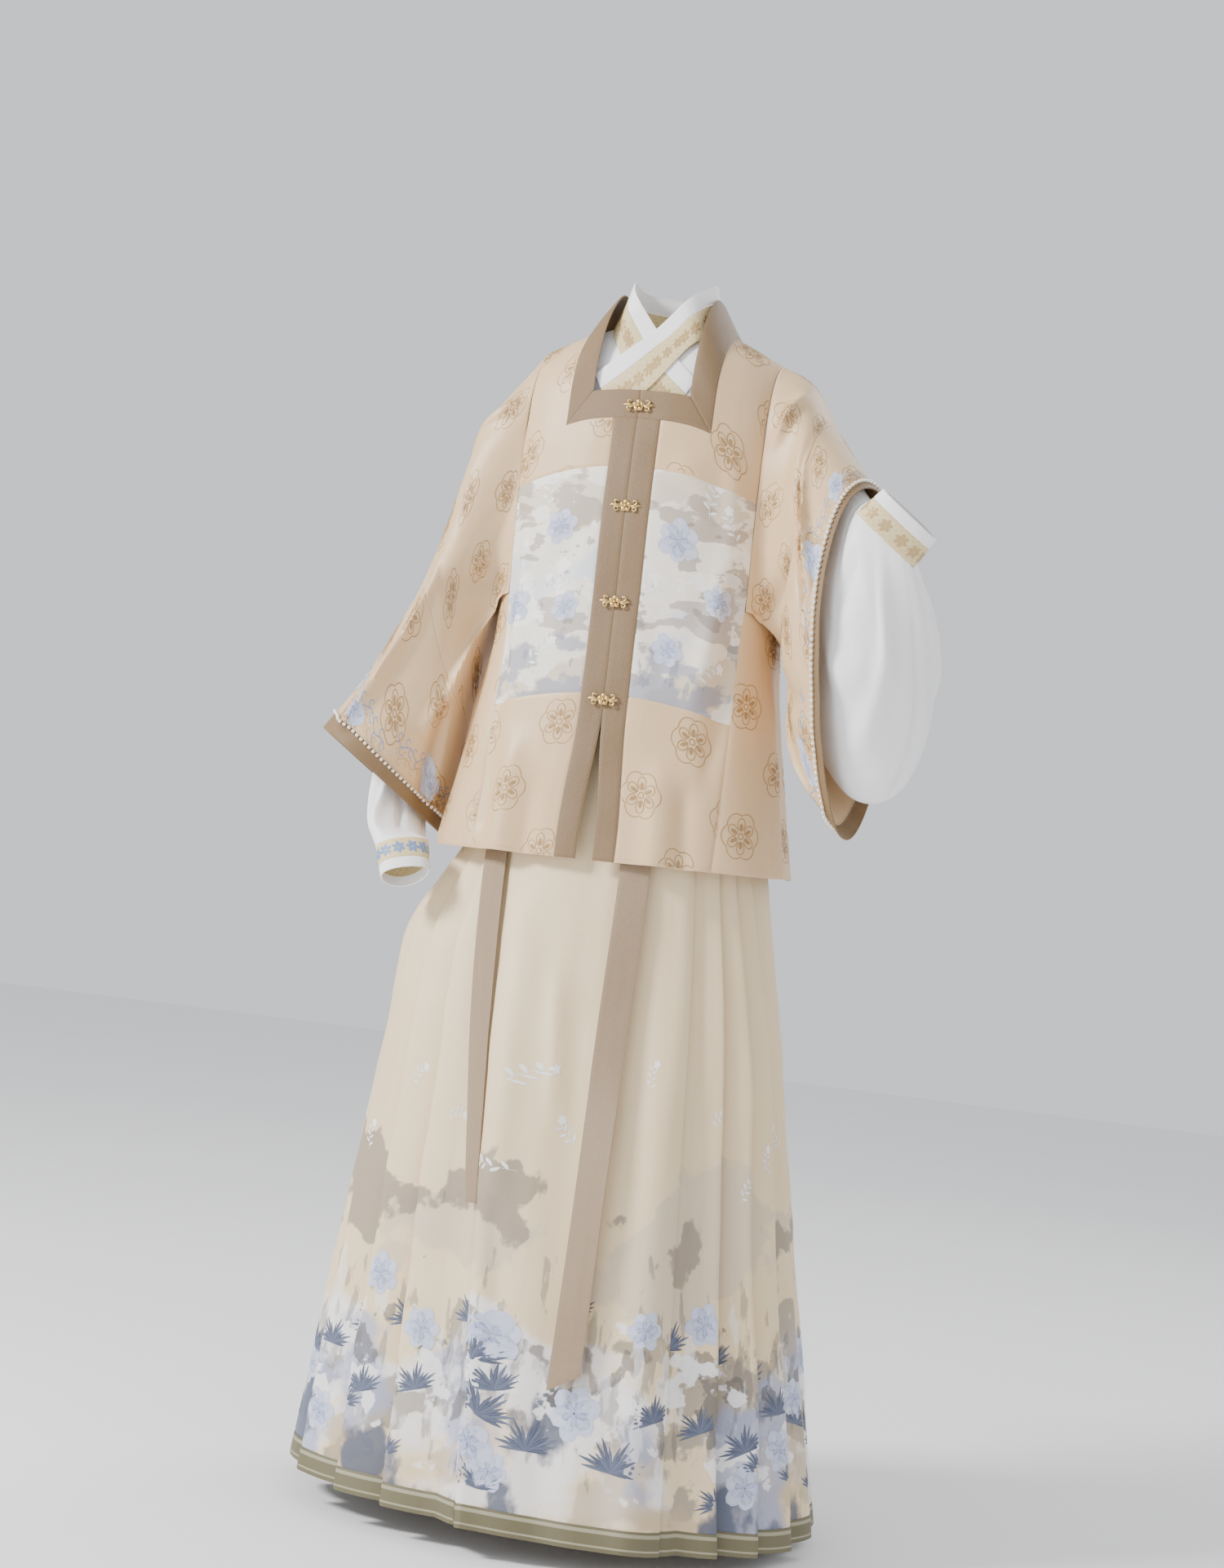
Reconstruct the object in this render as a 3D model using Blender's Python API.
# A worn hanfu dress: square-collar jacket, cross-collar shirt and pleated wrap skirt.
# Metres, +Z up, the front faces -Y, and the wearer's left is +X.
# The origin lies between the shoulders, level with the base of the neck, where the wearer carries it.
import math
from collections import namedtuple

import bmesh
import bpy
from mathutils import Vector

CLOTH = 0.0015
GAP = 0.0003
HALF_GAP = GAP / 2
RING_POWER = 2.5
WIDEST_PANEL = 0.88
SEAM_NEAR = 0.01

# Colours and finishes, one row a material
Finish = namedtuple("Finish", "red green blue rough metal")
FINISHES = {
    "satin": Finish(0.73, 0.61, 0.47, 0.5, 0.0),
    "print": Finish(0.83, 0.80, 0.78, 0.6, 0.0),
    "trim": Finish(0.33, 0.26, 0.17, 0.6, 0.0),
    "white": Finish(0.90, 0.89, 0.89, 0.7, 0.0),
    "ivory": Finish(0.76, 0.68, 0.51, 0.6, 0.0),
    "skirt": Finish(0.76, 0.67, 0.58, 0.6, 0.0),
    "hem": Finish(0.26, 0.24, 0.16, 0.6, 0.0),
    "tie": Finish(0.38, 0.30, 0.23, 0.5, 0.0),
    "gold": Finish(0.80, 0.60, 0.32, 0.3, 1.0),
}

# A torso layer: the shoulder line, the rings below it, and the levels that its seams follow
Shoulder = namedtuple("Shoulder", "x z")
Ring = namedtuple("Ring", "z half front back")
Level = namedtuple("Level", "z drop")
Torso = namedtuple("Torso", "shoulder rings levels cap panel parting armpit")

JACKET = Torso(
    shoulder=[Shoulder(0.0, 0.050), Shoulder(0.060, 0.046), Shoulder(0.090, 0.036),
              Shoulder(0.148, 0.008), Shoulder(0.180, -0.012)],
    rings=[Ring(0.05, 0.172, 0.100, 0.086), Ring(-0.04, 0.174, 0.106, 0.092),
           Ring(-0.14, 0.176, 0.117, 0.098), Ring(-0.22, 0.175, 0.121, 0.101),
           Ring(-0.30, 0.173, 0.123, 0.103), Ring(-0.42, 0.184, 0.128, 0.110),
           Ring(-0.54, 0.202, 0.138, 0.126), Ring(-0.62, 0.217, 0.145, 0.138)],
    levels=[Level(-0.142, 0.030), Level(-0.415, 0.022), Level(-0.612, 0.0)],
    cap=0.090, panel=0.148, parting=0.010, armpit=-0.300)
SHIRT = Torso(
    shoulder=[Shoulder(0.0, 0.0478), Shoulder(0.060, 0.0438), Shoulder(0.090, 0.0338),
              Shoulder(0.148, 0.0022), Shoulder(0.180, -0.0182)],
    rings=[Ring(0.05, 0.165, 0.090, 0.077), Ring(-0.04, 0.166, 0.095, 0.083),
           Ring(-0.14, 0.166, 0.106, 0.090), Ring(-0.22, 0.163, 0.106, 0.092),
           Ring(-0.27, 0.158, 0.104, 0.090), Ring(-0.365, 0.129, 0.098, 0.090),
           Ring(-0.385, 0.128, 0.098, 0.090), Ring(-0.42, 0.128, 0.098, 0.090)],
    levels=[Level(-0.268, 0.0), Level(-0.382, 0.0), Level(-0.4125, 0.0)],
    cap=0.088, panel=0.138, parting=0.0, armpit=-0.268)
# The square neck: its outer and inner rows in front and behind, its half widths, and the collar's rise
NECK_ROW, NECK_CORNER_ROW = 1.42, 1.08
NECK_HALF, NECK_INNER = 0.090, 0.060
BACK_NECK_ROW, BACK_INNER = 0.55, 0.85
ROW_GAP = 0.004
COLLAR_RISE = 0.040
YOKE_ROW, BAND_ROW, HEM_ROW = 2, 3, 4
YOKE_ROWS = [0.17, 0.36, 0.55, 0.77, 1.0, 1.2, NECK_ROW]
BACK_ROWS = [0.18, 0.36, BACK_NECK_ROW, 0.77, 1.0]
# How far a sleeve stands off the body past its root, and how many half gaps part it from its next piece,
# more in the shirt, whose seam runs at a slant
BODY_MARGIN, MARGIN_RUN = 0.0045, 0.015
SLEEVE_GAPS, SHIRT_SLEEVE_GAPS = 2.0, 3.4
SHIRT_ARMPIT_ROW, SHIRT_HEM_ROW = 2, 4
SHIRT_SIDE_DROP = 0.010
SHIRT_TOP_ROWS = [0.2, 0.42, 0.7, 1.0]
SHIRT_WAIST_ROWS = [2.25, 2.5, 2.75, 3.0, 4.0]
PLACKET = 0.0285
PLACKET_RAISE = 0.0006
# The side slits spread below their top, and the fronts part below the last clasp
SLIT_TOP, SLIT_RUN, SLIT_SPREAD = -0.465, 0.12, 0.016
LAST_CLASP, PARTING_RUN = -0.430, 0.16

# Skirt rings: half widths on the wearer's left and right, depths, and the flat panels' half width
SkirtRing = namedtuple("SkirtRing", "z left right front back panel swing power")
SKIRT = [
    SkirtRing(-0.396, 0.1298, 0.1298, 0.0998, 0.0918, 0.085, 0.000, 2.50),
    SkirtRing(-0.42, 0.1300, 0.1300, 0.1000, 0.0920, 0.086, 0.001, 2.50),
    SkirtRing(-0.50, 0.162, 0.165, 0.114, 0.110, 0.105, 0.006, 2.35),
    SkirtRing(-0.60, 0.192, 0.192, 0.125, 0.122, 0.114, 0.012, 2.25),
    SkirtRing(-0.65, 0.203, 0.222, 0.133, 0.132, 0.116, 0.016, 2.20),
    SkirtRing(-0.72, 0.216, 0.262, 0.146, 0.146, 0.117, 0.022, 2.20),
    SkirtRing(-0.85, 0.242, 0.280, 0.174, 0.176, 0.117, 0.034, 2.20),
    SkirtRing(-1.00, 0.268, 0.298, 0.204, 0.208, 0.116, 0.048, 2.20),
    SkirtRing(-1.20, 0.302, 0.314, 0.242, 0.248, 0.114, 0.068, 2.20),
    SkirtRing(-1.385, 0.336, 0.332, 0.276, 0.284, 0.112, 0.086, 2.20),
]
SKIRT_TOP, SKIRT_SEAM, SKIRT_HEM = -0.4128, -1.347, -1.373
SKIRT_HEIGHTS = [SKIRT_TOP, -0.49, -0.60, -0.66, -0.72, -0.86, -1.02, -1.19]
WAIST_TOP = -0.385
HEM_TILT = 0.030
PANEL_PROUD_TOP, PANEL_PROUD = 0.0003, 0.009
PLEAT_DEPTH_TOP, PLEAT_DEPTH_HEM = 0.0020, 0.022
PLEATS_UNDER_PANEL = 0.03
# Where each pleat's folded edge lies, as a share of the pleated side from front to back
PLEAT_EDGES = (0.115, 0.205, 0.315, 0.43, 0.54, 0.655, 0.77, 0.885, 1.0)
PLEAT_RISE = 0.88

# Sleeve sections, outward +X: the upper point, the lower point, the turn, the half thickness, the lift
Section = namedtuple("Section", "at tx ty tz bx by bz turn half lift")
SLEEVE_RAISED = [
    Section(0.00, 0.148, 0.000, 0.008, 0.174, 0.000, -0.300, 0, 0.085, 0.0),
    Section(0.25, 0.190, -0.008, -0.014, 0.198, -0.020, -0.368, 2, 0.082, 0.0),
    Section(0.50, 0.222, -0.030, -0.064, 0.216, -0.060, -0.440, 8, 0.088, 0.0),
    Section(0.75, 0.262, -0.080, -0.118, 0.252, -0.100, -0.502, 16, 0.090, 0.0),
    Section(1.00, 0.292, -0.120, -0.150, 0.304, -0.120, -0.558, 24, 0.082, 0.0),
]
SLEEVE_DOWN = [
    Section(0.00, 0.148, 0.000, 0.008, 0.174, 0.000, -0.300, 0, 0.085, 0.0),
    Section(0.25, 0.214, 0.000, -0.090, 0.194, 0.000, -0.385, 0, 0.088, 0.02),
    Section(0.50, 0.262, 0.010, -0.245, 0.208, 0.010, -0.458, 0, 0.098, 0.06),
    Section(0.75, 0.330, 0.018, -0.396, 0.219, 0.020, -0.532, 0, 0.110, 0.14),
    Section(1.00, 0.388, 0.020, -0.494, 0.231, 0.020, -0.602, 0, 0.122, 0.24),
]
SHIRT_SLEEVE_RAISED = [
    Section(0.00, 0.138, 0.000, 0.0075, 0.154, 0.000, -0.266, 0, 0.076, 0.0),
    Section(0.22, 0.186, -0.010, -0.022, 0.192, -0.020, -0.310, 2, 0.064, 0.0),
    Section(0.45, 0.238, -0.055, -0.102, 0.232, -0.072, -0.420, 10, 0.058, 0.0),
    Section(0.66, 0.288, -0.122, -0.164, 0.302, -0.118, -0.505, 24, 0.058, 0.0),
    Section(0.78, 0.300, -0.142, -0.168, 0.352, -0.122, -0.502, 26, 0.060, 0.0),
    Section(0.88, 0.304, -0.160, -0.172, 0.382, -0.126, -0.430, 28, 0.056, 0.0),
    Section(0.95, 0.301, -0.178, -0.182, 0.374, -0.152, -0.318, 30, 0.046, 0.0),
    Section(1.00, 0.299, -0.194, -0.194, 0.361, -0.206, -0.246, 32, 0.030, 0.35),
]
SHIRT_SLEEVE_DOWN = [
    Section(0.00, 0.138, 0.000, 0.0075, 0.154, 0.000, -0.266, 0, 0.076, 0.0),
    Section(0.25, 0.210, 0.000, -0.110, 0.206, 0.000, -0.318, 0, 0.060, 0.0),
    Section(0.50, 0.268, 0.000, -0.290, 0.232, 0.004, -0.430, 0, 0.056, 0.0),
    Section(0.72, 0.316, 0.004, -0.448, 0.254, 0.002, -0.528, 0, 0.048, 0.03),
    Section(0.86, 0.316, -0.022, -0.545, 0.252, -0.018, -0.580, 0, 0.040, 0.10),
    Section(0.94, 0.297, -0.064, -0.597, 0.234, -0.062, -0.603, -8, 0.034, 0.25),
    Section(1.00, 0.268, -0.104, -0.632, 0.209, -0.106, -0.608, -14, 0.026, 0.35),
]
TEARDROP = 0.25
# The share of the armhole that each upright seam takes, and the length that eases out of it
UNDERARM = 0.42
ROOT_BLEND = 0.3
SLEEVE_SEAM, CUFF_SEAM = 0.50, 0.93
WRIST_BAND, WRIST_EDGE = 0.026, 0.014

# Folds laid in the sleeves by hand: two ends, each a share of the length and of the way round
Fold = namedtuple("Fold", "at0 round0 at1 round1 width height")
FOLDS_RAISED = [
    Fold(0.04, 0.40, 0.46, 0.10, 0.050, 0.011), Fold(0.08, 0.44, 0.72, 0.24, 0.045, 0.012),
    Fold(0.16, 0.47, 0.80, 0.38, 0.040, -0.009), Fold(0.10, 0.62, 0.60, 0.86, 0.050, 0.010),
]
FOLDS_DOWN = [
    Fold(0.05, 0.38, 0.55, 0.16, 0.045, 0.008), Fold(0.20, 0.42, 0.90, 0.30, 0.045, 0.009),
    Fold(0.25, 0.05, 0.85, 0.12, 0.040, -0.007), Fold(0.15, 0.62, 0.80, 0.80, 0.050, 0.009),
]
NO_FOLDS = []


# The shirt's neck strips, from the crossing in front to the centre back: the outer edge, and the way
# from it to the inner one
Neck = namedtuple("Neck", "at x y z width_x width_y width_z")
NECK_STRIP = [
    Neck(0.0, -0.046, -0.090, -0.085, -0.016, 0.000, 0.028),
    Neck(0.25, 0.006, -0.090, -0.046, -0.018, 0.000, 0.032),
    Neck(0.5, 0.044, -0.070, 0.008, -0.014, 0.008, 0.032),
    Neck(0.7, 0.0625, -0.012, 0.046, -0.009, 0.004, 0.034),
    Neck(0.85, 0.0480, 0.034, 0.040, -0.005, -0.004, 0.034),
    Neck(1.0, 0.0003, 0.050, 0.034, 0.000, -0.004, 0.036),
]
# How far across each strip its columns lie, the guard beyond the band's inner edge
BAND_SHARES, GUARD_SHARES = [0.0, 0.33, 0.67, 1.0], [1.012, 1.3, 1.62]
NECK_UNDER, NECK_OVER = CLOTH + 3 * GAP, 2 * CLOTH + 7 * GAP
NECK_TAIL = 0.05
NECK_BEND, NECK_LEAN = 0.937, 0.022
NECK_V_ROW, BACK_NECK_V_ROW = 0.80, 0.40
WRIST_TAPER = 2.0

# Ties: share of the length, place, width, distance off the cloth behind, and how far one edge stands back.
# The right tie's x follows the front panel's edge, so its rows leave x at 0.
Tie = namedtuple("Tie", "at x z width off turn")
TIE_LEFT = [Tie(0.0, 0.052, -0.4135, 0.036, 0.0023, 0.0), Tie(0.12, 0.055, -0.50, 0.036, 0.007, 0.002),
            Tie(0.25, 0.060, -0.60, 0.036, 0.009, 0.002), Tie(0.5, 0.064, -0.80, 0.036, 0.013, 0.003),
            Tie(0.75, 0.068, -1.00, 0.036, 0.014, -0.002), Tie(1.0, 0.070, -1.20, 0.036, 0.012, 0.003)]
TIE_RIGHT = [Tie(0.0, 0.0, -0.4135, 0.030, 0.0010, 0.0), Tie(0.3, 0.0, -0.60, 0.030, 0.0012, 0.0),
             Tie(0.6, 0.0, -0.80, 0.026, 0.0012, 0.0), Tie(1.0, 0.0, -1.02, 0.014, 0.0012, 0.0)]
TIE_SLANT = 0.010
TIE_RAISE = 0.0021
CLASP_WIDE, CLASP_TALL, CLASP_THICK, CLASP_SEAT = 0.038, 0.017, 0.004, 0.0006
CLASP_HEIGHTS = (-0.068, -0.190, -0.305, -0.422)
CLASP_POINTS, CLASP_LOBES, LOBE_DEPTH = 36, 5, 0.16
CLASP_TURN = 0.02


def clear_scene():
    """Remove the objects that a new file starts with."""
    for old in list(bpy.data.objects):
        bpy.data.objects.remove(old, do_unlink=True)


def material(name):
    """One plain Principled material for each row of the finish table."""
    found = bpy.data.materials.get(name)
    if found:
        return found
    made = bpy.data.materials.new(name)
    made.use_nodes = True
    shader = made.node_tree.nodes["Principled BSDF"]
    finish = FINISHES[name]
    shader.inputs["Base Color"].default_value = (finish.red, finish.green, finish.blue, 1.0)
    shader.inputs["Roughness"].default_value = finish.rough
    shader.inputs["Metallic"].default_value = finish.metal
    return made


def ease(share):
    """A smooth step from 0 to 1."""
    share = min(max(share, 0.0), 1.0)
    return share * share * (3.0 - 2.0 * share)


def spread(start, end, count):
    """Evenly spaced values from start to end, in count steps."""
    return [start + (end - start) * step / count for step in range(count + 1)]


def read_table(rows, key, at):
    """A row of in-between values on the smooth curve through a table's rows."""
    keys = [getattr(row, key) for row in rows]
    rising = keys[-1] > keys[0]
    low = 0
    while low < len(rows) - 2 and ((at > keys[low + 1]) == rising) and at != keys[low + 1]:
        low += 1
    before, after = max(low - 1, 0), min(low + 2, len(rows) - 1)
    span = keys[low + 1] - keys[low]
    share = min(max((at - keys[low]) / span, 0.0), 1.0)
    square, cube = share ** 2, share ** 3
    values = []
    for a, b, c, d in zip(rows[before], rows[low], rows[low + 1], rows[after]):
        slope_b = (c - a) / (keys[low + 1] - keys[before]) * span
        slope_c = (d - b) / (keys[after] - keys[low]) * span
        value = b * (2 * cube - 3 * square + 1) + slope_b * (cube - 2 * square + share)
        values.append(value + c * (3 * square - 2 * cube) + slope_c * (cube - square))
    return type(rows[low])(*values)


def signed_power(value, power):
    """A power that keeps its value's sign."""
    return math.copysign(abs(value) ** power, value)


def height(shape, x, row):
    """The height at a row: 0 to 1 goes over the shoulder, then each whole row is a seam level."""
    ridge = read_table(shape.shoulder, "x", x).z
    if row <= 1.0:
        return ridge - shape.cap * (1.0 - math.cos(row * math.pi / 2))
    edge = min(x / shape.panel, 1.0) ** 2
    heights = [ridge - shape.cap] + [level.z - level.drop * edge for level in shape.levels]
    low = min(int(row) - 1, len(heights) - 2)
    return heights[low] + (heights[low + 1] - heights[low]) * (row - 1 - low)


def row_at(shape, x, z):
    """The row at which a column below the shoulder reaches a height."""
    low, high = 1.0, 1.0 + len(shape.levels)
    for _ in range(40):
        middle = (low + high) / 2
        if height(shape, x, middle) > z:
            low = middle
        else:
            high = middle
    return low


def torso(shape, around, row):
    """A point on a torso layer. Around runs 0 centre front, 1 armhole seam, 2 side, 3, 4 centre back."""
    is_back = around > 2.0
    turn = 4.0 - around if is_back else around
    if turn <= 1.0:
        z = height(shape, abs(shape.panel * turn), row)
        ring = read_table(shape.rings, "z", z)
        x = min(shape.panel, ring.half * WIDEST_PANEL) * turn
        depth = (1.0 - min(abs(x) / ring.half, 1.0) ** RING_POWER) ** (1.0 / RING_POWER)
    else:
        z = height(shape, shape.panel, row)
        ring = read_table(shape.rings, "z", z)
        seam = min(shape.panel / ring.half, WIDEST_PANEL)
        seam_angle = math.asin(seam ** (RING_POWER / 2))
        angle = seam_angle + (math.pi / 2 - seam_angle) * (turn - 1.0)
        x = ring.half * math.sin(angle) ** (2.0 / RING_POWER)
        depth = signed_power(math.cos(angle), 2.0 / RING_POWER)
    over = math.sin(row * math.pi / 2) if row < 1.0 else 1.0
    y = depth * over * (ring.back if is_back else -ring.front)
    if not is_back and turn < 1.0:
        x += shape.parting * ease((LAST_CLASP - z) / PARTING_RUN) * (1.0 - turn)
    if shape is JACKET and turn > 1.0:
        y += (SLIT_SPREAD if is_back else -SLIT_SPREAD) * ease((SLIT_TOP - z) / SLIT_RUN) * (turn - 1.0)
    return Vector((x, y, z))


def step_in(place, value, direction):
    """A parameter moved by half a seam gap along the surface."""
    probe = 0.01
    length = (place(value + direction * probe) - place(value)).length
    return value + direction * probe * HALF_GAP / length


def normal_at(place, u, v, outward):
    """The unit normal of a surface, turned to the side that outward gives."""
    probe = 0.002
    across = place(u + probe, v) - place(u - probe, v)
    along = place(u, v + probe) - place(u, v - probe)
    normal = across.cross(along).normalized()
    return normal * outward


def torso_normals(place, outward):
    """Torso normals that stay level with the armhole seams, so that both walls end in one plane there."""

    def normals(around, row):
        normal = normal_at(place, around, row, outward)
        nearest = min(abs(abs(around) - 1.0), abs(abs(around) - 3.0))
        if nearest < SEAM_NEAR:
            normal = Vector((0.0, normal.y, normal.z)).normalized()
        return normal

    return normals


def clear_of_body(shape, point, margin):
    """Move a sleeve point out to just clear of a torso layer."""
    ring = read_table(shape.rings, "z", point.z)
    least = min(shape.panel, ring.half * WIDEST_PANEL) + GAP + margin
    if point.z < shape.armpit + HALF_GAP:
        depth = (ring.front if point.y < 0.0 else ring.back) + margin
        reach = 1.0 - min(abs(point.y) / depth, 1.0) ** RING_POWER
        least = max((ring.half + margin) * reach ** (1.0 / RING_POWER), least)
    return Vector((max(point.x, least), point.y, point.z))


def wall(name, place, us, vs, finish, outward=1, mirror=1, thickness=CLOTH, raise_by=0.0,
         closed=False, keep=None, normals=None):
    """A cloth wall: its outer face is place(u, v) over the columns us and rows vs."""
    bm = bmesh.new()
    bmesh.ops.create_grid(bm, x_segments=len(us) - 1, y_segments=len(vs) - 1, size=1.0)
    inner = bm.verts.layers.float_vector.new("inner")
    dropped = []
    if keep:
        for face in bm.faces:
            centre = face.calc_center_median()
            column = (centre.x + 1) / 2 * (len(us) - 1)
            row = (centre.y + 1) / 2 * (len(vs) - 1)
            middle_u = (us[int(column)] + us[int(column) + 1]) / 2
            middle_v = (vs[int(row)] + vs[int(row) + 1]) / 2
            if not keep(middle_u, middle_v):
                dropped.append(face)
    bmesh.ops.delete(bm, geom=dropped, context="FACES")
    for vert in bm.verts:
        u = us[round((vert.co.x + 1) / 2 * (len(us) - 1))]
        v = vs[round((vert.co.y + 1) / 2 * (len(vs) - 1))]
        point = place(u, v)
        normal = normals(u, v) if normals else normal_at(place, u, v, outward)
        point = point + normal * raise_by
        under = point - normal * thickness
        vert.co = (point.x * mirror, point.y, point.z)
        vert[inner] = (under.x * mirror, under.y, under.z)
    if closed:
        bmesh.ops.remove_doubles(bm, verts=bm.verts[:], dist=0.00001)
    pushed = bmesh.ops.extrude_face_region(bm, geom=bm.faces[:])
    for vert in [part for part in pushed["geom"] if isinstance(part, bmesh.types.BMVert)]:
        vert.co = vert[inner]
    bmesh.ops.recalc_face_normals(bm, faces=bm.faces[:])
    mesh = bpy.data.meshes.new(name)
    bm.to_mesh(mesh)
    bm.free()
    mesh.shade_smooth()
    mesh.set_sharp_from_angle(angle=math.radians(50))
    made = bpy.data.objects.new(name, mesh)
    made.data.materials.append(material(finish))
    GARMENT.objects.link(made)
    return made


def side_name(mirror):
    """The wearer's side: left is +X."""
    return "left" if mirror > 0 else "right"


def jacket_fronts(mirror):
    """Yoke, chest band, lower front, side pieces and placket of one side."""
    side = side_name(mirror)

    def place(around, row):
        return torso(JACKET, around, row)

    inner = PLACKET / JACKET.panel
    opening = step_in(lambda a: place(a, 2.5), 0.0, 1)
    seam_in = step_in(lambda a: place(a, 2.5), inner, -1)
    seam_out = step_in(lambda a: place(a, 2.5), inner, 1)
    armhole = step_in(lambda a: place(a, 2.5), 1.0, -1)
    neck = NECK_HALF / JACKET.panel
    columns = [seam_out] + spread(inner, neck, 3)[1:] + spread(neck, armhole, 3)[1:]

    def rows(start, end, count):
        first = step_in(lambda r: place(0.5, r), start, 1)
        last = step_in(lambda r: place(0.5, r), end, -1)
        return spread(first, last, count)

    def below_neck(around, row):
        return around > neck or row > NECK_ROW

    yoke_top = step_in(lambda r: place(0.8, r), 0.0, 1)
    yoke_rows = [yoke_top] + YOKE_ROWS + rows(NECK_ROW, YOKE_ROW, 3)[1:]
    level = torso_normals(place, -1)
    wall("jacket_yoke_" + side, place, columns, yoke_rows, "satin", -1, mirror, keep=below_neck,
         normals=level)
    wall("jacket_chest_band_" + side, place, columns, rows(YOKE_ROW, BAND_ROW, 7), "print", -1, mirror,
         normals=level)
    wall("jacket_lower_front_" + side, place, columns, rows(BAND_ROW, HEM_ROW, 6), "satin", -1, mirror,
         normals=level)
    placket_columns = [opening, (opening + seam_in) / 2, seam_in]
    placket_rows = spread(NECK_ROW + ROW_GAP, HEM_ROW, 17)
    wall("jacket_placket_" + side, place, placket_columns, placket_rows, "trim", -1, mirror,
         CLOTH + PLACKET_RAISE, PLACKET_RAISE)
    armpit_row = step_in(lambda r: place(1.5, r), row_at(JACKET, JACKET.panel, JACKET.armpit), 1)
    side_rows = spread(armpit_row, HEM_ROW, 8)
    for name, start, end in (("front", 1.0, 2.0), ("back", 2.0, 3.0)):
        first = step_in(lambda a: place(a, 2.6), start + 0.0001, 1)
        last = step_in(lambda a: place(a, 2.6), end - 0.0001, -1)
        side_columns = spread(first, last, 4)
        wall("jacket_side_" + name + "_" + side, place, side_columns, side_rows, "satin", -1, mirror,
             normals=level)


def jacket_back():
    """The back, one width from armhole seam to armhole seam."""

    def place(across, row):
        point = torso(JACKET, 4.0 - abs(across), row)
        return Vector((math.copysign(point.x, across), point.y, point.z))

    edge = step_in(lambda a: place(a, 2.5), 1.0, -1)
    neck = NECK_HALF / JACKET.panel
    right_half = [neck * 0.33, neck * 0.67, neck, (neck + edge) / 2, edge]
    columns = [-across for across in reversed(right_half)] + [0.0] + right_half
    top = step_in(lambda r: place(0.8, r), 0.0, 1)

    def below_neck(across, row):
        return abs(across) > neck or row > BACK_NECK_ROW

    rows = [top] + BACK_ROWS + spread(1.0, HEM_ROW, 14)[1:]
    wall("jacket_back", place, columns, rows, "satin", 1, keep=below_neck, normals=torso_normals(place, 1))


def armhole(shape, armpit_row, share):
    """The sleeve's root: down the front seam, under the arm, and up the back seam."""
    share = share % 1.0
    if share < UNDERARM:
        return torso(shape, 1.0, armpit_row * share / UNDERARM)
    if share > 1.0 - UNDERARM:
        return torso(shape, 3.0, armpit_row * (1.0 - share) / UNDERARM)
    under = torso(shape, 1.0 + 2.0 * (share - UNDERARM) / (1.0 - 2 * UNDERARM), armpit_row)
    return under + Vector((0.0, 0.0, 2 * GAP))


def section_point(section, share):
    """A point on a sleeve section: share 0 on top, 0.25 in front, 0.5 below, 0.75 behind."""
    angle = share * 2 * math.pi
    top = Vector((section.tx, section.ty, section.tz))
    bottom = Vector((section.bx, section.by, section.bz))
    turn = math.radians(section.turn)
    front = Vector((-math.sin(turn), -math.cos(turn), section.lift))
    thick = section.half * math.sin(angle) * (1.0 + TEARDROP * math.cos(angle))
    return (top + bottom) / 2 + (top - bottom) / 2 * math.cos(angle) + front * thick


def fold_height(folds, at, share):
    """How far the folds push the cloth out at a place on the sleeve."""
    total = 0.0
    for fold in folds:
        run = Vector((fold.at1 - fold.at0, fold.round1 - fold.round0))
        spot = Vector((at - fold.at0, share - fold.round0))
        along = min(max(spot.dot(run) / run.length_squared, 0.0), 1.0)
        off = (spot - run * along).length
        taper = math.sin(math.pi * min(max(0.08 + 0.84 * along, 0.0), 1.0))
        total += fold.height * taper * math.exp(-(off / fold.width) ** 2)
    return total * ease(at / 0.15) * ease((1.04 - at) / 0.12)


def sleeve_place(shape, armpit_row, sections, folds):
    """The surface of a whole sleeve: place(share round, share along)."""

    def place(share, at):
        section = read_table(sections, "at", max(at, 0.0))
        point = section_point(section, share)
        loose = max(1.0 - at / ROOT_BLEND, 0.0) ** 2
        if loose > 0.0:
            point = point + (armhole(shape, armpit_row, share) - section_point(sections[0], share)) * loose
        if folds:
            middle = Vector(((section.tx + section.bx) / 2, (section.ty + section.by) / 2, point.z))
            outward = (point - middle)
            point = point + outward.normalized() * fold_height(folds, at, share % 1.0)
        point = clear_of_body(shape, point, BODY_MARGIN * min(max(at, 0.0) / MARGIN_RUN, 1.0))
        return clear_of_body(JACKET, point, BODY_MARGIN) if shape is SHIRT and at > ROOT_BLEND / 2 else point

    return place


def sleeve_normals(place, shape, armpit_row, wrist_ahead=None):
    """The sleeve's own normals, at the root the body's, and at a wrist level with its ring."""

    def normals(share, at):
        own = normal_at(place, share, max(at, 0.004), 1)
        if wrist_ahead and at > 0.99:
            return (own - wrist_ahead * own.dot(wrist_ahead)).normalized()
        corner = min(abs(share - UNDERARM), abs(share - 1.0 + UNDERARM)) < SEAM_NEAR
        if at < MARGIN_RUN and corner:
            return Vector((0.0, own.y, own.z)).normalized()
        on_seam = share < UNDERARM or share > 1.0 - UNDERARM
        if at > MARGIN_RUN or not on_seam:
            return own
        seam, climb = (1.0, share) if share < 0.5 else (3.0, 1.0 - share)
        return torso_normals(lambda a, r: torso(shape, a, r), -1)(seam, armpit_row * climb / UNDERARM)

    return normals


def sleeve_columns(seam_count, under_count):
    """Shares round a sleeve: the front seam, under the arm, the back seam."""
    front = spread(0.0, UNDERARM, seam_count)
    under = spread(UNDERARM, 1.0 - UNDERARM, under_count)[1:-1]
    return front + under + spread(1.0 - UNDERARM, 1.0, seam_count)


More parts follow.
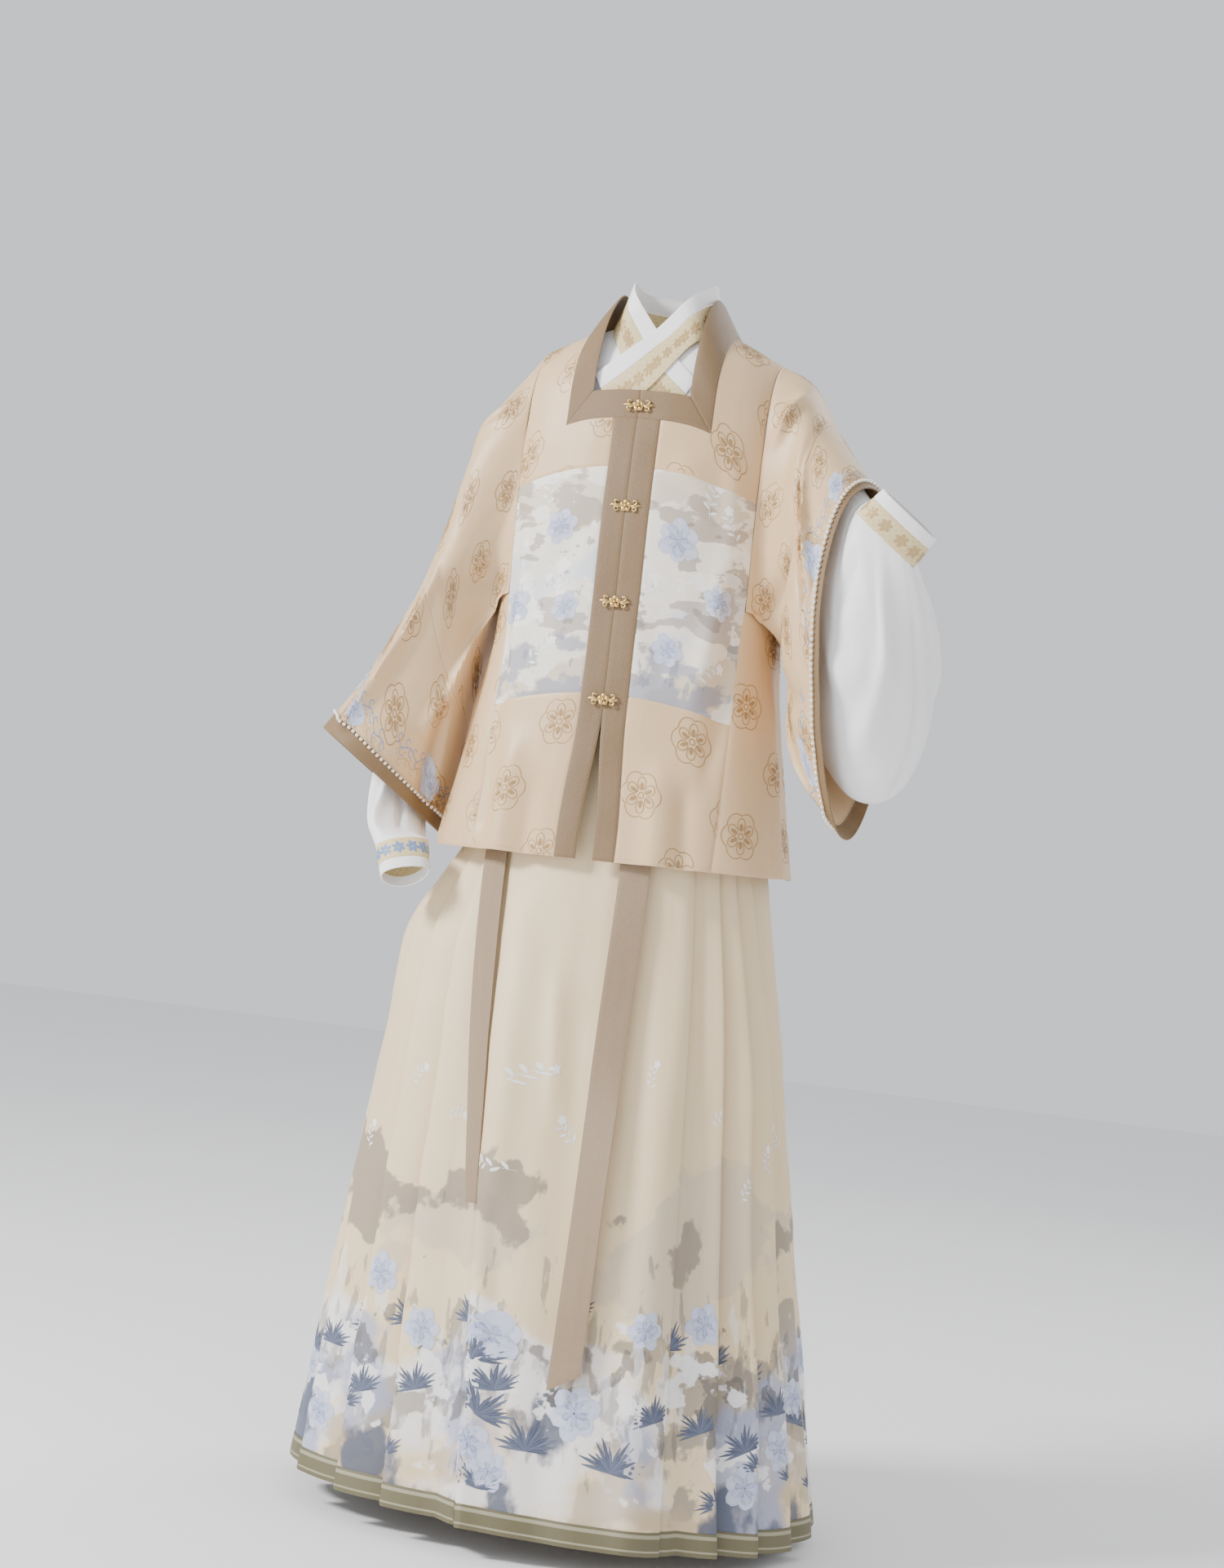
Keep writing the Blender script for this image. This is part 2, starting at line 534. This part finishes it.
def sleeve_step(place, at, direction, gaps=SLEEVE_GAPS):
    """The share along a sleeve that leaves at least half a seam gap all the way round."""
    steps = [abs(step_in(lambda a: place(share, a), at, direction) - at) for share in spread(0.0, 1.0, 24)]
    return at + direction * max(steps) * gaps


def jacket_sleeve(mirror, sections, folds):
    """Upper sleeve, joined sleeve end and cuff band of one side."""
    side = side_name(mirror)
    armpit_row = row_at(JACKET, JACKET.panel, JACKET.armpit)
    place = sleeve_place(JACKET, armpit_row, sections, folds)
    normals = sleeve_normals(place, JACKET, armpit_row)
    columns = sleeve_columns(8, 8)

    def along(start, end, count):
        return spread(sleeve_step(place, start, 1), sleeve_step(place, end, -1), count)

    upper = along(0.0, SLEEVE_SEAM, 7)
    upper.insert(1, MARGIN_RUN)
    wall("jacket_sleeve_" + side, place, columns, upper, "satin", 1, mirror, closed=True, normals=normals)
    end = along(SLEEVE_SEAM, CUFF_SEAM, 6)
    wall("jacket_sleeve_end_" + side, place, columns, end, "satin", 1, mirror, closed=True, normals=normals)
    cuff = [sleeve_step(place, CUFF_SEAM, 1), 1.0]
    wall("jacket_cuff_band_" + side, place, columns, cuff, "trim", 1, mirror, CLOTH + PLACKET_RAISE,
         PLACKET_RAISE, closed=True, normals=normals)


def square_collar():
    """Front bars with mitred corners, side bars over the shoulders and the standing back neck."""
    def front_bar(across, share):
        """Across 0 to 1 from the opening to the mitre; share 0 at the inner edge, 1 at the outer."""
        half = NECK_INNER + (NECK_HALF - NECK_INNER) * share
        row = NECK_CORNER_ROW + (NECK_ROW - NECK_CORNER_ROW) * share
        return torso(JACKET, half * across / JACKET.panel, row)

    def side_bar(climb, share):
        """Climb 0 at the mitre, 1 on the shoulder, 2 at the centre back."""
        half = NECK_INNER + (NECK_HALF - NECK_INNER) * share
        if climb <= 1.0:
            start = NECK_CORNER_ROW + (NECK_ROW - NECK_CORNER_ROW) * share
            point = torso(JACKET, half / JACKET.panel, start * (1.0 - climb))
            lift = ease(climb)
        else:
            back_row = (BACK_NECK_ROW - ROW_GAP) * (BACK_INNER + (1.0 - BACK_INNER) * share)
            down = min((climb - 1.0) * 2.0, 1.0)
            inward = max((climb - 1.5) * 2.0, 0.0)
            point = torso(JACKET, 4.0 - half * (1.0 - inward) / JACKET.panel, back_row * down)
            lift = 1.0
        return point + Vector((0.0, 0.0, COLLAR_RISE * lift * (1.0 - share)))

    first = step_in(lambda a: front_bar(a, 0.5), 0.0, 1)
    mitre = step_in(lambda a: front_bar(a, 0.5), 1.0, -1)
    for mirror in (1, -1):
        side = side_name(mirror)
        shares = [0.0, 0.5, 1.0 - 2 * GAP / (NECK_HALF - NECK_INNER)]
        wall("jacket_collar_front_" + side, front_bar, spread(first, mitre, 5), shares, "trim", -1, mirror,
             CLOTH, PLACKET_RAISE)
        climbs = spread(0.006, 1.0, 8) + spread(1.0, 1.996, 8)[1:]
        wall("jacket_collar_side_" + side, side_bar, climbs, shares, "trim", -1, mirror, CLOTH, PLACKET_RAISE)


def shirt_body():
    """Front and back of the shirt, worn inside the jacket."""

    def front(across, row):
        side = abs(across)
        start = NECK_V_ROW * (1.0 - min(side / (NECK_INNER / SHIRT.panel), 1.0)) if side < 1.0 else 0.0
        point = torso(SHIRT, side, row + start * max(1.0 - row / SHIRT_ARMPIT_ROW, 0.0))
        return Vector((math.copysign(point.x, across), point.y, point.z))

    def back(across, row):
        side = abs(across)
        start = BACK_NECK_V_ROW * (1.0 - min(side / (NECK_INNER / SHIRT.panel), 1.0)) if side < 1.0 else 0.0
        point = torso(SHIRT, 4.0 - side, row + start * max(1.0 - row / SHIRT_ARMPIT_ROW, 0.0))
        return Vector((math.copysign(point.x, across), point.y, point.z))

    edge = step_in(lambda a: front(a, 2.5), 1.0, -1)
    half = [NECK_INNER / SHIRT.panel / 2, NECK_INNER / SHIRT.panel, 0.7, edge]
    columns = [-across for across in reversed(half)] + [0.0] + half
    top = step_in(lambda r: front(0.8, r), 0.0, 1)
    rows = [top] + SHIRT_TOP_ROWS + spread(1.0, SHIRT_ARMPIT_ROW, 3)[1:] + SHIRT_WAIST_ROWS
    wall("shirt_front", front, columns, rows, "white", -1, normals=torso_normals(front, -1))
    wall("shirt_back", back, columns, rows, "white", 1, normals=torso_normals(back, 1))

    def side_place(around, row):
        return torso(SHIRT, around, row)

    for mirror in (1, -1):
        first = step_in(lambda a: torso(SHIRT, a, 2.6), 1.0001, 1)
        last = step_in(lambda a: torso(SHIRT, a, 2.6), 2.9999, -1)
        side_rows = [SHIRT_ARMPIT_ROW + SHIRT_SIDE_DROP] + SHIRT_WAIST_ROWS
        wall("shirt_side_" + side_name(mirror), side_place, spread(first, last, 8), side_rows, "white", -1,
             mirror, normals=torso_normals(side_place, -1))


def shirt_sleeve(mirror, sections):
    """One shirt sleeve with its joined end, the embroidered wrist band and the white edge beyond it."""
    side = side_name(mirror)
    wrist = sections[-1]
    middle = Vector(((wrist.tx + wrist.bx) / 2, (wrist.ty + wrist.by) / 2, (wrist.tz + wrist.bz) / 2))
    across = section_point(wrist, 0.0) - section_point(wrist, 0.5)
    ahead = across.cross(section_point(wrist, 0.25) - section_point(wrist, 0.75)).normalized()
    if ahead.dot(middle - section_point(sections[-2], 0.25)) < 0.0:
        ahead = -ahead
    place = sleeve_place(SHIRT, SHIRT_ARMPIT_ROW, sections, NO_FOLDS)
    normals = sleeve_normals(place, SHIRT, SHIRT_ARMPIT_ROW, ahead)
    columns = sleeve_columns(5, 4)
    upper_end = sleeve_step(place, SLEEVE_SEAM, -1, SHIRT_SLEEVE_GAPS)
    upper = spread(sleeve_step(place, 0.0, 1), upper_end, 7)
    upper.insert(1, MARGIN_RUN)
    wall("shirt_sleeve_" + side, place, columns, upper, "white", 1, mirror, closed=True, normals=normals)
    end = spread(sleeve_step(place, SLEEVE_SEAM, 1, SHIRT_SLEEVE_GAPS), 1.0, 7)
    wall("shirt_sleeve_end_" + side, place, columns, end, "white", 1, mirror, closed=True, normals=normals)

    def cuff(share, out):
        spot = section_point(wrist, share)
        return middle + (spot - middle) * (1.0 - WRIST_TAPER * out) + ahead * out

    facing = 1 if normal_at(cuff, 0.25, 0.01, 1).dot(section_point(wrist, 0.25) - middle) > 0 else -1
    around = spread(0.0, 1.0, 16)
    band = [2 * GAP, 2 * GAP + WRIST_BAND]
    wall("shirt_wrist_band_" + side, cuff, around, band, "ivory", facing, mirror, closed=True)
    edge_start = 3 * GAP + WRIST_BAND
    wall("shirt_wrist_edge_" + side, cuff, around, [edge_start, edge_start + WRIST_EDGE], "white", facing,
         mirror, closed=True)


def neck_strip(name, finish, rows, mirror, shares, raise_by):
    """A strip round the neck whose outer edge follows a table and whose inner edge stands above it."""

    def place(at, share):
        row = read_table(rows, "at", at)
        x, z = row.x + row.width_x * share, row.z + row.width_z * share
        standing = row.y + row.width_y * share
        lying = neck_front_y(x, z)
        return Vector((x, lying + (standing - lying) * ease((at - 0.5) / 0.18), z))

    wall(name, place, spread(NECK_TAIL, rows[-1].at, 15), shares, finish, 1, mirror, CLOTH, raise_by)


def neck_front_y(x, z):
    """The depth of the shirt's front, carried on up the neck above where the shoulder rounds off."""
    ridge = read_table(SHIRT.shoulder, "x", abs(x)).z
    bend = ridge - SHIRT.cap * (1.0 - math.cos(NECK_BEND))
    ring = read_table(SHIRT.rings, "z", min(z, bend))
    over = math.sin(math.acos(min(max(1.0 - (ridge - min(z, bend)) / SHIRT.cap, 0.0), 1.0)))
    lying = -ring.front * over * (1.0 - (abs(x) / ring.half) ** RING_POWER) ** (1.0 / RING_POWER)
    return lying + NECK_LEAN * (1.0 - math.exp(-max(z - bend, 0.0) / NECK_LEAN / 1.25))


def skirt_ring(z, mirror):
    """The skirt's sizes at a height, for the wearer's left (mirror 1) or right (-1) half."""
    ring = read_table(SKIRT, "z", z)
    return ring, (ring.left if mirror > 0 else ring.right)


def skirt_point(z, mirror, turn, pushed=0.0):
    """A plain point on the skirt. Turn 0 and 2 are the middles of front and back, 1 is the side."""
    ring, half = skirt_ring(z, mirror)
    angle = turn * math.pi / 2
    depth = ring.front if turn <= 1.0 else ring.back
    x = (half + pushed) * signed_power(math.sin(angle), 2.0 / ring.power)
    y = -(depth + pushed) * signed_power(math.cos(angle), 2.0 / ring.power)
    return Vector((x, y, z))


def panel_turn(z, mirror, is_back):
    """Where a flat panel's edge lies round the skirt."""
    ring, half = skirt_ring(z, mirror)
    edge = ring.panel + (0.0 if is_back else ring.swing * mirror)
    turn = math.asin(min(edge / half, 0.985) ** (ring.power / 2)) / (math.pi / 2)
    return 2.0 - turn if is_back else turn


def hem_lift(x, row):
    """The hem hangs a little higher on the wearer's right."""
    return -HEM_TILT * x * ease((-0.8 - row) / 0.5)


def pleat_push(share, z):
    """The saw-tooth of the knife pleats: each rises slowly to its folded edge and drops behind it."""
    depth = PLEAT_DEPTH_TOP + (PLEAT_DEPTH_HEM - PLEAT_DEPTH_TOP) * ease((SKIRT_TOP - z) / 0.75)
    start = 0.0
    if share < 0.0:
        return -depth
    for edge in PLEAT_EDGES:
        if share <= edge + 1e-9:
            local = (share - start) / (edge - start)
            rise = local / PLEAT_RISE if local < PLEAT_RISE else (1.0 - local) / (1.0 - PLEAT_RISE)
            return -depth * (1.0 - rise)
        start = edge
    return -depth


def pleat_place(mirror):
    """The pleated side: place(share from front panel to back panel, height)."""

    def place(share, z):
        first, last = panel_turn(z, mirror, False), panel_turn(z, mirror, True)
        turn = first + (last - first) * share
        proud = PANEL_PROUD_TOP + (PANEL_PROUD - PANEL_PROUD_TOP) * ease((SKIRT_TOP - z) / 0.2)
        point = skirt_point(z, mirror, turn, pleat_push(share, z) - proud)
        point.z += hem_lift(point.x * mirror, z)
        return point

    return place


def panel_place(is_back):
    """A flat panel: place(across from -1 to 1, height)."""

    def place(across, z):
        mirror = 1 if across >= 0.0 else -1
        edge = panel_turn(z, mirror, is_back)
        middle = 2.0 if is_back else 0.0
        turn = middle + (edge - middle) * abs(across)
        point = skirt_point(z, mirror, turn)
        point.x *= mirror
        point.z += hem_lift(point.x, z)
        return point

    return place


def skirt():
    """Front and back panels, pleated sides, hem bands and waistband."""
    heights = SKIRT_HEIGHTS + [SKIRT_SEAM + HALF_GAP]
    hem = [SKIRT_SEAM - HALF_GAP, SKIRT_HEM]
    across = spread(-1.0, 1.0, 8)
    for name, is_back, outward in (("front", False, 1), ("back", True, -1)):
        place = panel_place(is_back)
        wall("skirt_panel_" + name, place, across, heights, "skirt", outward)
        wall("skirt_hem_panel_" + name, place, across, hem, "hem", outward, 1, CLOTH + PLACKET_RAISE,
             PLACKET_RAISE)
    for mirror in (1, -1):
        place = pleat_place(mirror)
        shares = [-PLEATS_UNDER_PANEL, 0.0]
        start = 0.0
        for edge in PLEAT_EDGES:
            shares += [start + (edge - start) * PLEAT_RISE / 2, start + (edge - start) * PLEAT_RISE, edge]
            start = edge
        shares.append(1.0 + PLEATS_UNDER_PANEL)
        side = side_name(mirror)
        wall("skirt_pleats_" + side, place, shares, heights, "skirt", 1, mirror, normals=pleat_normals(place))
        wall("skirt_hem_pleats_" + side, place, shares, hem, "hem", 1, mirror, CLOTH + PLACKET_RAISE,
             PLACKET_RAISE, normals=pleat_normals(place))

    def waist(around, row):
        mirrored = around > 4.0
        point = torso(SHIRT, 8.0 - around if mirrored else around, row)
        return Vector((-point.x, point.y, point.z)) if mirrored else point

    neck = NECK_INNER / SHIRT.panel
    front = [0.0, neck / 2, neck, 0.7, 1.0]
    half = front + spread(1.0, 3.0, 8)[1:-1] + [4.0 - around for around in reversed(front)]
    ring = half + [8.0 - around for around in reversed(half[:-1])]
    wall("skirt_waistband", waist, ring, [row_at(SHIRT, 0.0, WAIST_TOP), SHIRT_HEM_ROW],
         "skirt", -1, 1, CLOTH, CLOTH + GAP, closed=True)


def pleat_normals(place):
    """Pleats take their thickness straight in from the plain ring, so no wall folds onto itself."""

    def normals(share, z):
        across = place(min(share + 0.05, 1.0), z) - place(max(share - 0.05, 0.0), z)
        flat = Vector((across.y, -across.x, 0.0)).normalized()
        return flat if flat.dot(Vector((place(share, z).x, place(share, z).y, 0.0))) > 0 else -flat

    return normals


def skirt_front_y(x, z):
    """The depth of the flat front panel's face at a place."""
    ring = read_table(SKIRT, "z", z)
    half = ring.left if x > 0.0 else ring.right
    return -ring.front * (1.0 - min(abs(x) / half, 1.0) ** ring.power) ** (1.0 / ring.power)


def left_tie():
    """The ribbon that hangs free in front of the front panel."""

    def place(across, at):
        row = read_table(TIE_LEFT, "at", at)
        x = row.x + across * row.width / 2
        cut = TIE_SLANT * across * ease((at - 0.9) / 0.1)
        hanging = ease(at / 0.25)
        cloth = skirt_front_y(x, row.z) * (1.0 - hanging) + skirt_front_y(row.x, row.z) * hanging
        return Vector((x, cloth - row.off + row.turn * across, row.z + cut))

    wall("skirt_tie_left", place, [-1.0, 0.0, 1.0], spread(0.0, 1.0, 14), "tie", -1)


def right_tie():
    """The ribbon that lies on the pleats beside the front panel's edge and slips behind a pleat."""

    def place(across, at):
        row = read_table(TIE_RIGHT, "at", at)
        ring = read_table(SKIRT, "z", row.z)
        edge = -(ring.panel - ring.swing) - row.off
        x = edge + (across - 1.0) * row.width / 2
        return Vector((x, skirt_front_y(x, row.z), row.z))

    wall("skirt_tie_right", place, spread(-1.0, 1.0, 3), spread(0.0, 1.0, 12), "tie", -1, 1, CLOTH, TIE_RAISE)


def clasp(index, z):
    """A fastened flower clasp: a five-lobed middle between two leaf wings, seated on the plackets."""
    row = row_at(JACKET, 0.0, z)
    point = torso(JACKET, CLASP_TURN, row)
    normal = normal_at(lambda a, r: torso(JACKET, a, r), CLASP_TURN, row, -1)
    outline = bpy.data.curves.new("clasp", "CURVE")
    outline.dimensions = "2D"
    outline.fill_mode = "BOTH"
    outline.extrude = CLASP_THICK / 2
    spline = outline.splines.new("POLY")
    spline.points.add(CLASP_POINTS - 1)
    for step in range(CLASP_POINTS):
        angle = 2 * math.pi * step / CLASP_POINTS
        wing = abs(math.cos(angle)) ** 3
        lobe = 1.0 + LOBE_DEPTH * math.cos(CLASP_LOBES * angle)
        reach = CLASP_TALL / 2 * lobe * (1.0 - wing) + CLASP_WIDE / 2 * wing
        spline.points[step].co = (reach * math.cos(angle), reach * math.sin(angle), 0.0, 1.0)
    spline.use_cyclic_u = True
    made = bpy.data.objects.new("clasp_%d" % index, outline)
    made.data.materials.append(material("gold"))
    seat = PLACKET_RAISE + GAP + CLASP_THICK / 2 + CLASP_SEAT
    made.location = Vector((0.0, point.y, point.z)) + Vector((0.0, normal.y, normal.z)).normalized() * seat
    made.rotation_euler = Vector((0.0, normal.y, normal.z)).to_track_quat("Z", "Y").to_euler()
    GARMENT.objects.link(made)


clear_scene()
GARMENT = bpy.data.collections.new("hanfu_dress")
bpy.context.scene.collection.children.link(GARMENT)
for hand in (1, -1):
    jacket_fronts(hand)
jacket_back()
square_collar()
jacket_sleeve(1, SLEEVE_RAISED, FOLDS_RAISED)
jacket_sleeve(-1, SLEEVE_DOWN, FOLDS_DOWN)
shirt_body()
shirt_sleeve(1, SHIRT_SLEEVE_RAISED)
shirt_sleeve(-1, SHIRT_SLEEVE_DOWN)
for hand, strip_finish in ((1, "over"), (-1, "under")):
    layer = NECK_OVER if hand > 0 else NECK_UNDER
    neck_strip("shirt_collar_" + strip_finish, "ivory", NECK_STRIP, hand, BAND_SHARES, layer)
    neck_strip("shirt_guard_" + strip_finish, "white", NECK_STRIP, hand, GUARD_SHARES, layer)
skirt()
left_tie()
right_tie()
for index, clasp_height in enumerate(CLASP_HEIGHTS, 1):
    clasp(index, clasp_height)
